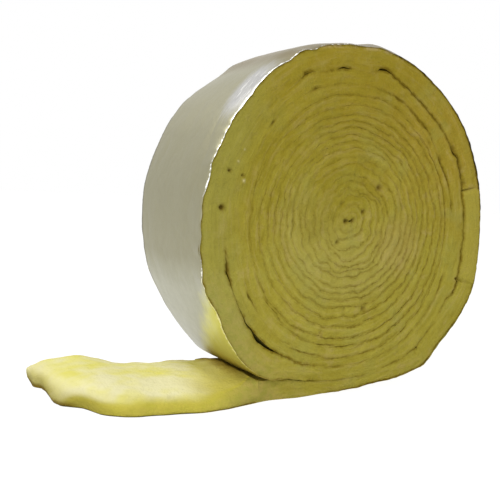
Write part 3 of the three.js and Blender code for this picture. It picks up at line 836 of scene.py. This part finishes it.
def glass_wool_finish():
    """Glass wool, yellow from its binder: matt, cut across its layers on the ends, with a paler skin on top. Its
    fibres are far too fine to show, and are drawn as coarse as felt."""
    material, tree = new_material("glass_wool_bonded_yellow")
    end_face, from_joint, clear, pit = (
        add_node(tree, "ShaderNodeAttribute", (), "Fac", attribute_name=name)
        for name in ("end_face", "from_joint", "clear", "pit"))
    on_strip = add_node(tree, "ShaderNodeAttribute", (), "Vector", attribute_name="flat")
    place = add_node(tree, "ShaderNodeTexCoord", (), "Object")
    axis = add_node(tree, "ShaderNodeSeparateXYZ", (place,)).node.outputs
    from_eye = add_node(tree, "ShaderNodeVectorMath", (place, (EYE[0] * MM, 0.0, EYE[1] * MM)), operation="SUBTRACT")
    from_eye = add_node(tree, "ShaderNodeVectorMath", (from_eye, (1.0, 0.0, 1.0)), operation="MULTIPLY")
    on_end = add_node(tree, "ShaderNodeSeparateXYZ", (from_eye,)).node.outputs
    radius = add_node(tree, "ShaderNodeVectorMath", (from_eye,), "Value", operation="LENGTH")
    heading = add_node(tree, "ShaderNodeVectorMath", (from_eye,), operation="NORMALIZE")
    heading = add_node(tree, "ShaderNodeVectorMath", {0: heading, "Scale": RING_STRETCH}, operation="SCALE")
    outward = add_node(tree, "ShaderNodeCombineXYZ", {"Y": radius})
    ringed = add_node(tree, "ShaderNodeVectorMath", (heading, outward), operation="ADD")
    upper_left, lower_left = (
        add_node(tree, "ShaderNodeVectorMath", (from_eye, (-0.5, 0.0, z)), "Value", operation="DOT_PRODUCT")
        for z in (0.86, -0.86))
    from_patch = add_node(tree, "ShaderNodeVectorMath", (from_eye, (0.07, 0.0, -0.024)), "Value",
                          operation="DISTANCE")
    upper_right, by_tail, to_nip = (
        add_node(tree, "ShaderNodeVectorMath", (place, way), "Value", operation="DOT_PRODUCT")
        for way in ((0.45, 0.0, 0.9), (-0.77, 0.0, -0.64), (1.0, -0.2, 0.0)))
    # The same, with edges made uneven by blotches: (value, size in millimetres, detail, how far they move it).
    upper_right, by_tail, to_nip, to_gap, to_joint = (
        add_node(tree, "ShaderNodeMath", (mottle(tree, place, size, detail), far, value), operation="MULTIPLY_ADD")
        for value, size, detail, far in ((upper_right, 35, 3, 0.16), (by_tail, 22, 3, 0.05), (to_nip, 25, 3, 0.04),
                                         (axis["X"], 12, 2, 0.012), (from_joint, 4.5, 3, 2.8)))

    blotches, grain, fleece = (mottle(tree, place, *size) for size in ((13, 3), (4.6, 2), (2.4, 3)))
    streaks, layers, strokes, dashes = (
        mottle(tree, on_strip, *size) for size in ((6, 3, (0.4, 1, 1)), (4.2, 2, (0.1, 0.3, 1)),
                                                   (1.6, 2, (1, 0.3, 0.12)), (9, 2, (1, 0.4, 0.4))))
    flakes = mottle(tree, ringed, 4.6, 3)
    patchy, blotchy, ringy, streaky, grainy, by_tail_mottle, skin = (
        add_node(tree, "ShaderNodeValToRGB", (pattern,), stops=((low, dark), (high, pale)))
        for pattern, low, dark, high, pale in (
            (mottle(tree, place, 48, 2), 0.3, WOOL_CUT_DARK, 0.7, WOOL_CUT_PALE),
            (blotches, 0.3, WOOL_CUT_DEEP, 0.7, WOOL_CUT_PALE),
            (mottle(tree, ringed, 9, 2), 0.32, WOOL_CUT_DEEP, 0.68, WOOL_CUT_PALE),
            (streaks, 0.3, WOOL_CUT_DEEP, 0.7, WOOL_CUT_PALE),
            (grain, 0.34, WOOL_CUT_DEEP, 0.66, WOOL_CUT_PALE),
            (mottle(tree, place, 7, 3), 0.4, WOOL_CUT_BEIGE, 0.6, WOOL_CUT_GREEN),
            (mottle(tree, place, 45, 2), 0.35, WOOL_SKIN_YELLOW, 0.6, WOOL_SKIN_PALE)))
    smeared = strength(tree, 1.0, (upper_left, 0.0, 0.06))
    ring_share = add_node(tree, "ShaderNodeMath", (smeared, 0.15, 0.4), operation="MULTIPLY_ADD")
    cut = washed(
        tree, patchy,
        (blotchy, 0.25),
        (ringy, ring_share),
        (WOOL_CUT_SMEAR, 0.55, (flakes, 0.5, 0.36), smeared),
        (WOOL_CUT_BEIGE, 0.5, (flakes, 0.54, 0.68), smeared),
        (streaky, 0.25),
        (WOOL_CUT_WARM, 0.6, (upper_right, 0.27, 0.39, "LINEAR")),
        (WOOL_CUT_BEIGE, 0.55, (mottle(tree, place, 16, 4), 0.56, 0.72, "LINEAR")),
        (WOOL_CUT_DEEP, 0.4, (layers, 0.5, 0.3, "LINEAR")),
        (WOOL_CUT_BEIGE, 0.4, (layers, 0.53, 0.72, "LINEAR")),
        (WOOL_CUT_GREEN, 0.4, (mottle(tree, place, 40, 3), 0.52, 0.68, "LINEAR")),
        (WOOL_CUT_PALE, 0.25, (strokes, 0.5, 0.75, "LINEAR")),
        (grainy, 0.14),
        # A beige and green mottle on the lower left, by the tail.
        (by_tail_mottle, 0.5, (by_tail, 0.055, 0.095)),
        (WOOL_CUT_FOLDED, 0.6, (radius, 0.1705, 0.1735), (on_end["X"], 0.1, 0.12), (on_end["Z"], -0.068, -0.064),
         (on_end["Z"], 0.0455, 0.0425)),
        # Painted light: the end paler towards the bottom.
        (WOOL_CUT_PALE, 0.2, (on_end["Z"], 0.01, -0.09)),
        (WOOL_CUT_MUTED, 0.25, (lower_left, -0.02, 0.03), (radius, 0.11, 0.07)),
        # Painted shade: the upper left of the end darker.
        (WOOL_CUT_DEEP, 0.42, (upper_left, 0.0, 0.12)),
        (WOOL_CUT_GREEN, 0.38, (on_end["X"], -0.09, -0.15), (radius, 0.13, 0.165)),
        (WOOL_CUT_BEIGE, 0.3, (from_patch, 0.045, 0.015)),
        (WOOL_CUT_DEEP, 0.35, (upper_left, -0.01, 0.02), (radius, 0.08, 0.05)))
    skin = washed(
        tree, skin,
        # Painted light and shade: yellower and darker where the roll hangs over the tail, and darker still at the
        # nip.
        (WOOL_SKIN_BOUNCE_SHADE, 1.0, (to_nip, -0.175, -0.085)),
        (WOOL_SKIN_NIP_SHADE, 0.6, (to_gap, -0.128, -0.11), (axis["Y"], -0.062, -0.03)),
        (WOOL_SKIN_SHADED, 0.75, (to_gap, -0.126, -0.108), (axis["Y"], -0.075, -0.05)),
        (WOOL_SKIN_DULL, 0.7, (axis["Y"], -0.02, -0.065), (axis["X"], -0.2, -0.16)),
        (WOOL_SKIN_FRAYED, 0.7, (axis["X"], -0.292, -0.312)))

    cut_share = add_node(tree, "ShaderNodeMath", (end_face,), operation="ABSOLUTE")
    dashed = add_node(tree, "ShaderNodeMapRange", (dashes, 0.38, 0.66, 0.45, 1.5))
    # The joint colour is painted shade, strongest where the joint is clear.
    joint = strength(tree, 1.0, (to_joint, 5.2, 1.0), strength(tree, dashed, clear))
    joint = add_node(tree, "ShaderNodeMath", (joint, 0.88), operation="MINIMUM")
    colour = washed(
        tree, skin,
        # On the tail's open edges the cut wool is lightened and yellowed: painted light.
        (washed(tree, cut, (WOOL_OPEN_CUT_LIT, 0.45)), 1.0, (cut_share, 0.0, 0.5)),
        (cut, 1.0, (cut_share, 0.5, 1.0, "LINEAR")),
        # Painted shade: the tail's end darker towards the floor.
        (WOOL_END_LOW_SHADE, 0.8, (axis["Z"], 0.02, 0.003), (axis["X"], -0.262, -0.292)),
        # Painted shade: a dark line along the very bottom of the tail's end.
        (WOOL_PIT_SHADE, 0.8, (axis["Z"], 0.0065, 0.002), (axis["X"], -0.29, -0.302)),
        (WOOL_JOINT_SHADE, joint),
        (WOOL_CUT_BEIGE, 0.8, (from_joint, 5.5, 1.5), (on_end["Z"], 0.176, 0.183),
         (mottle(tree, place, 9, 3), 0.42, 0.6), cut_share),
        # Painted shade in the creases, hollows and pits.
        (WOOL_PIT_SHADE, 0.85, (pit, 0.0, 0.85 / 0.22, "LINEAR")),
        (WOOL_TUFT, 0.85, (pit, 0.0, -0.85 / 0.6, "LINEAR")))

    height = 0.0
    for part, share in ((layers, 0.9), (strokes, 0.3), (streaks, 1.2), (blotches, 2.0), (grain, 0.7), (fleece, 0.5)):
        height = add_node(tree, "ShaderNodeMath", (part, share, height), operation="MULTIPLY_ADD")
    bump = add_node(tree, "ShaderNodeBump", {"Height": height, "Distance": 0.001, "Strength": 0.9})
    surface = add_node(tree, "ShaderNodeBsdfPrincipled", {"Base Color": colour, "Normal": bump, "Roughness": 0.95,
                       "Specular IOR Level": 0.12})
    add_node(tree, "ShaderNodeOutputMaterial", {"Surface": surface})
    return material


def foil_finish():
    """Aluminium foil, rolled and bonded to the wool: satin, with painted reflections that leave it dim on its upper
    half, lighter low down and yellow low down, from over the tail on round the other side, painted shade by the nip,
    a painted sheen and a painted highlight along its cut edge."""
    material, tree = new_material("aluminium_foil_rolled")
    place = add_node(tree, "ShaderNodeTexCoord", (), "Object")
    height = add_node(tree, "ShaderNodeSeparateXYZ", (place,), "Z")
    rim = add_node(tree, "ShaderNodeAttribute", (), "Fac", attribute_name="rim")
    on_strip = add_node(tree, "ShaderNodeAttribute", (), "Vector", attribute_name="flat")
    across = add_node(tree, "ShaderNodeSeparateXYZ", (on_strip,), "Y")
    over_tail = add_node(tree, "ShaderNodeVectorMath", (place, (1.0, -0.54, 0.0)), "Value", operation="DOT_PRODUCT")
    off = add_node(tree, "ShaderNodeVectorMath", (on_strip, SHEEN_PLACE), operation="SUBTRACT")
    off = add_node(tree, "ShaderNodeVectorMath", (off, SHEEN_SPREAD), operation="MULTIPLY")
    off = add_node(tree, "ShaderNodeVectorMath", (off,), "Value", operation="LENGTH")
    along_scratches = add_node(tree, "ShaderNodeMapping", {"Vector": on_strip, "Rotation": (0.0, 0.0, 0.32),
                               "Scale": (45.0, 620.0, 1.0)})
    scratches = add_node(tree, "ShaderNodeTexNoise", {"Vector": along_scratches, "Scale": 1.0, "Detail": 3.0})
    creases = mottle(tree, place, 9, 5)
    uneven, over_tail, off, bright = (
        add_node(tree, "ShaderNodeMath", (pattern, far, value), operation="MULTIPLY_ADD")
        for pattern, far, value in (
            (mottle(tree, place, 70, 2, shift=3.0), 0.03, height),
            (mottle(tree, place, 22, 3, shift=5.0), 0.02, over_tail),
            (scratches, 1.1, off),
            (mottle(tree, place, 4, 2, shift=8.0), 1.8, rim)))
    # Painted reflection of the yellow tail, low down, from over the tail on round the other side.
    tail_reflection = strength(tree, 1.0, (over_tail, -0.14, -0.12), (height, 0.16, 0.115))
    # By the nip a duller, matt painted reflection of the tail, and lower still painted shade.
    nip_reflection = strength(tree, 0.85, (height, 0.08, 0.035), tail_reflection)
    # Darker along the top of the roll.
    dark_top = strength(tree, 0.88, (height, 0.345, 0.365))
    # Painted sheen on the upper left, with streaks of painted highlight.
    painted_sheen = strength(tree, 1.0, (off, 1.5, 0.95))
    # Painted highlight along the foil's cut edge.
    edge = strength(tree, 1.0, (bright, 1.68, 1.88, "LINEAR"))
    colour = washed(
        # Painted reflections: dim above, lighter low down.
        tree, FOIL_UPPER_REFLECTION,
        (FOIL_LOWER_REFLECTION, 1.0, (uneven, 0.165, 0.125, "LINEAR")),
        (FOIL_DULL, 0.25, (creases, 0.3, 0.7, "LINEAR")),
        (FOIL_TAIL_REFLECTION, 0.9, tail_reflection),
        (FOIL_NIP_REFLECTION, nip_reflection),
        (FOIL_NIP_SHADE, 0.7, (height, 0.05, 0.02), tail_reflection),
        (FOIL_DARK_TOP, dark_top),
        # Darker along the foil's far edge.
        (FOIL_DARK_FAR_EDGE, 0.8, (across, 0.0705, 0.0735)),
        # Painted sheen, and streaks of painted highlight in it.
        (FOIL_SHEEN, 0.55, painted_sheen),
        (FOIL_HIGHLIGHT, 0.5, (scratches, 0.54, 0.66), painted_sheen),
        (washed(tree, FOIL_HIGHLIGHT, (FOIL_YELLOW_HIGHLIGHT, 1.0, (height, 0.15, 0.11))), edge))
    dulled = add_node(tree, "ShaderNodeMath", (dark_top, nip_reflection), operation="MAXIMUM")
    dulled = add_node(tree, "ShaderNodeMath", (dulled, strength(tree, edge, tail_reflection)), operation="MAXIMUM")
    metal = add_node(tree, "ShaderNodeMath", (dulled, -0.8, 1.0), operation="MULTIPLY_ADD")
    bump = add_node(tree, "ShaderNodeBump", {"Height": creases, "Distance": 0.0008, "Strength": 0.5})
    surface = add_node(tree, "ShaderNodeBsdfPrincipled", {"Base Color": colour, "Normal": bump, "Metallic": metal,
                       "Roughness": 0.38})
    add_node(tree, "ShaderNodeOutputMaterial", {"Surface": surface})
    return material


SHEEN_PLACE = ((float(place_on_strip(SHEEN_ANGLE, SHEEN_RADIUS)) + RUN_OUT) * MM, SHEEN_ACROSS, 0.0)

# ------------------------------------------------------------------ the object
guide = guide_line()
tree = winding_tree()
wool_points, wool_values = flat_wool()
top_first = NEAR_EDGE_POINTS
under_first = top_first + TOP_POINTS + FAR_EDGE_POINTS
wool_mesh = ring_mesh("glass_wool_strip", wool_points, wool_values,
                      ("end_face", "from_joint", "clear", "pit", "fluff"),
                      [(~strip.in_tail, top_first, top_first + TOP_POINTS),
                       (~strip.in_tail & strip.first_turn, under_first, under_first + len(UNDER_POINTS) - 1),
                       (~strip.in_tail & ~strip.first_turn, under_first, under_first + len(UNDER_POINTS))])
wool = run_tree(wool_mesh, tree, {"Line": guide, "Finish": glass_wool_finish(), "Ruffle Length": 0.032,
                "Ruffle Height": 0.004, "Felt Length": 0.010, "Felt Height": 0.003, "Seed": float(SEED)})
foil_points, foil_values, foil_merged = flat_foil()
foil_mesh = ring_mesh("foil_facing_sheet", foil_points, foil_values, ("rim", "fluff"), foil_merged)
foil = run_tree(foil_mesh, tree, {"Line": guide, "Finish": foil_finish(), "Ruffle Length": 0.05,
                "Ruffle Height": 0.003, "Felt Length": 0.014, "Felt Height": 0.0006, "Seed": float(SEED + 3)})
bpy.data.objects.remove(guide)

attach(wool, "root")
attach(foil, "root")
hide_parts("glass_wool_blanket")
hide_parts("foil_facing")


# ------------------------------------------------------------------ stage, light and camera
def seen_itself(tree):
    """1 where the camera, a mirror or glass shows a thing, and 0 where it only lights others."""
    seen = add_node(tree, "ShaderNodeLightPath").node.outputs
    either = add_node(tree, "ShaderNodeMath", (seen["Is Camera Ray"], seen["Is Glossy Ray"]), operation="MAXIMUM")
    return add_node(tree, "ShaderNodeMath", (either, seen["Is Transmission Ray"]), operation="MAXIMUM")


def paper_finish():
    """Matt white paper that the camera and the foil see as pure white, with the object's shadow kept."""
    material, tree = new_material("white_paper_floor")
    matt = add_node(tree, "ShaderNodeBsdfDiffuse", {"Color": (0.8, 0.8, 0.8, 1)})
    faint = add_node(tree, "ShaderNodeBsdfDiffuse", {"Color": (0.12, 0.12, 0.12, 1)})
    glow = add_node(tree, "ShaderNodeEmission", {"Color": (1, 1, 1, 1), "Strength": 0.97})
    white = add_node(tree, "ShaderNodeAddShader", (faint, glow))
    shown = add_node(tree, "ShaderNodeMixShader", (seen_itself(tree), matt, white))
    add_node(tree, "ShaderNodeOutputMaterial", {"Surface": shown})
    return material


def lay_floor():
    mesh = bpy.data.meshes.new("floor")
    corners = [(x * FLOOR_REACH, y * FLOOR_REACH, -FLOOR_DROP) for x, y in ((-1, -1), (1, -1), (1, 1), (-1, 1))]
    mesh.from_pydata(corners, [], [(0, 1, 2, 3)])
    mesh.materials.append(paper_finish())
    floor = bpy.data.objects.new("floor", mesh)
    bpy.context.collection.objects.link(floor)


def light_room():
    world = bpy.data.worlds.new("room")
    bpy.context.scene.world = world
    world.use_nodes = True
    tree = world.node_tree
    tree.nodes.clear()
    room = add_node(tree, "ShaderNodeBackground", {"Color": (1, 1, 1, 1), "Strength": WORLD_LIGHT})
    white = add_node(tree, "ShaderNodeBackground", {"Color": (1, 1, 1, 1), "Strength": 1.0})
    shown = add_node(tree, "ShaderNodeMixShader", (seen_itself(tree), room, white))
    add_node(tree, "ShaderNodeOutputWorld", {"Surface": shown})
    for name, place, aim, size, power in LAMPS:
        light = bpy.data.lights.new(name, "AREA")
        light.shape, light.size, light.energy = "DISK", size, power
        lamp = bpy.data.objects.new(name, light)
        lamp.location = place
        lamp.rotation_euler = (Vector(aim) - Vector(place)).to_track_quat("-Z", "Y").to_euler()
        bpy.context.collection.objects.link(lamp)


def place_camera():
    camera = bpy.data.objects.new("camera", bpy.data.cameras.new("camera"))
    bpy.context.collection.objects.link(camera)
    forward = (CAMERA_TARGET - CAMERA_PLACE).normalized()
    right = forward.cross(Vector((0, 0, 1))).normalized()
    up = right.cross(forward)
    roll = math.radians(CAMERA_ROLL)
    right, up = right * math.cos(roll) + up * math.sin(roll), up * math.cos(roll) - right * math.sin(roll)
    camera.matrix_world = Matrix.Translation(CAMERA_PLACE) @ Matrix((right, up, -forward)).transposed().to_4x4()
    camera.data.lens, camera.data.sensor_width = CAMERA_LENS, CAMERA_SENSOR
    camera.data.clip_start = 0.01
    bpy.context.scene.camera = camera


lay_floor()
light_room()
place_camera()
bpy.context.scene.view_settings.view_transform = "Standard"
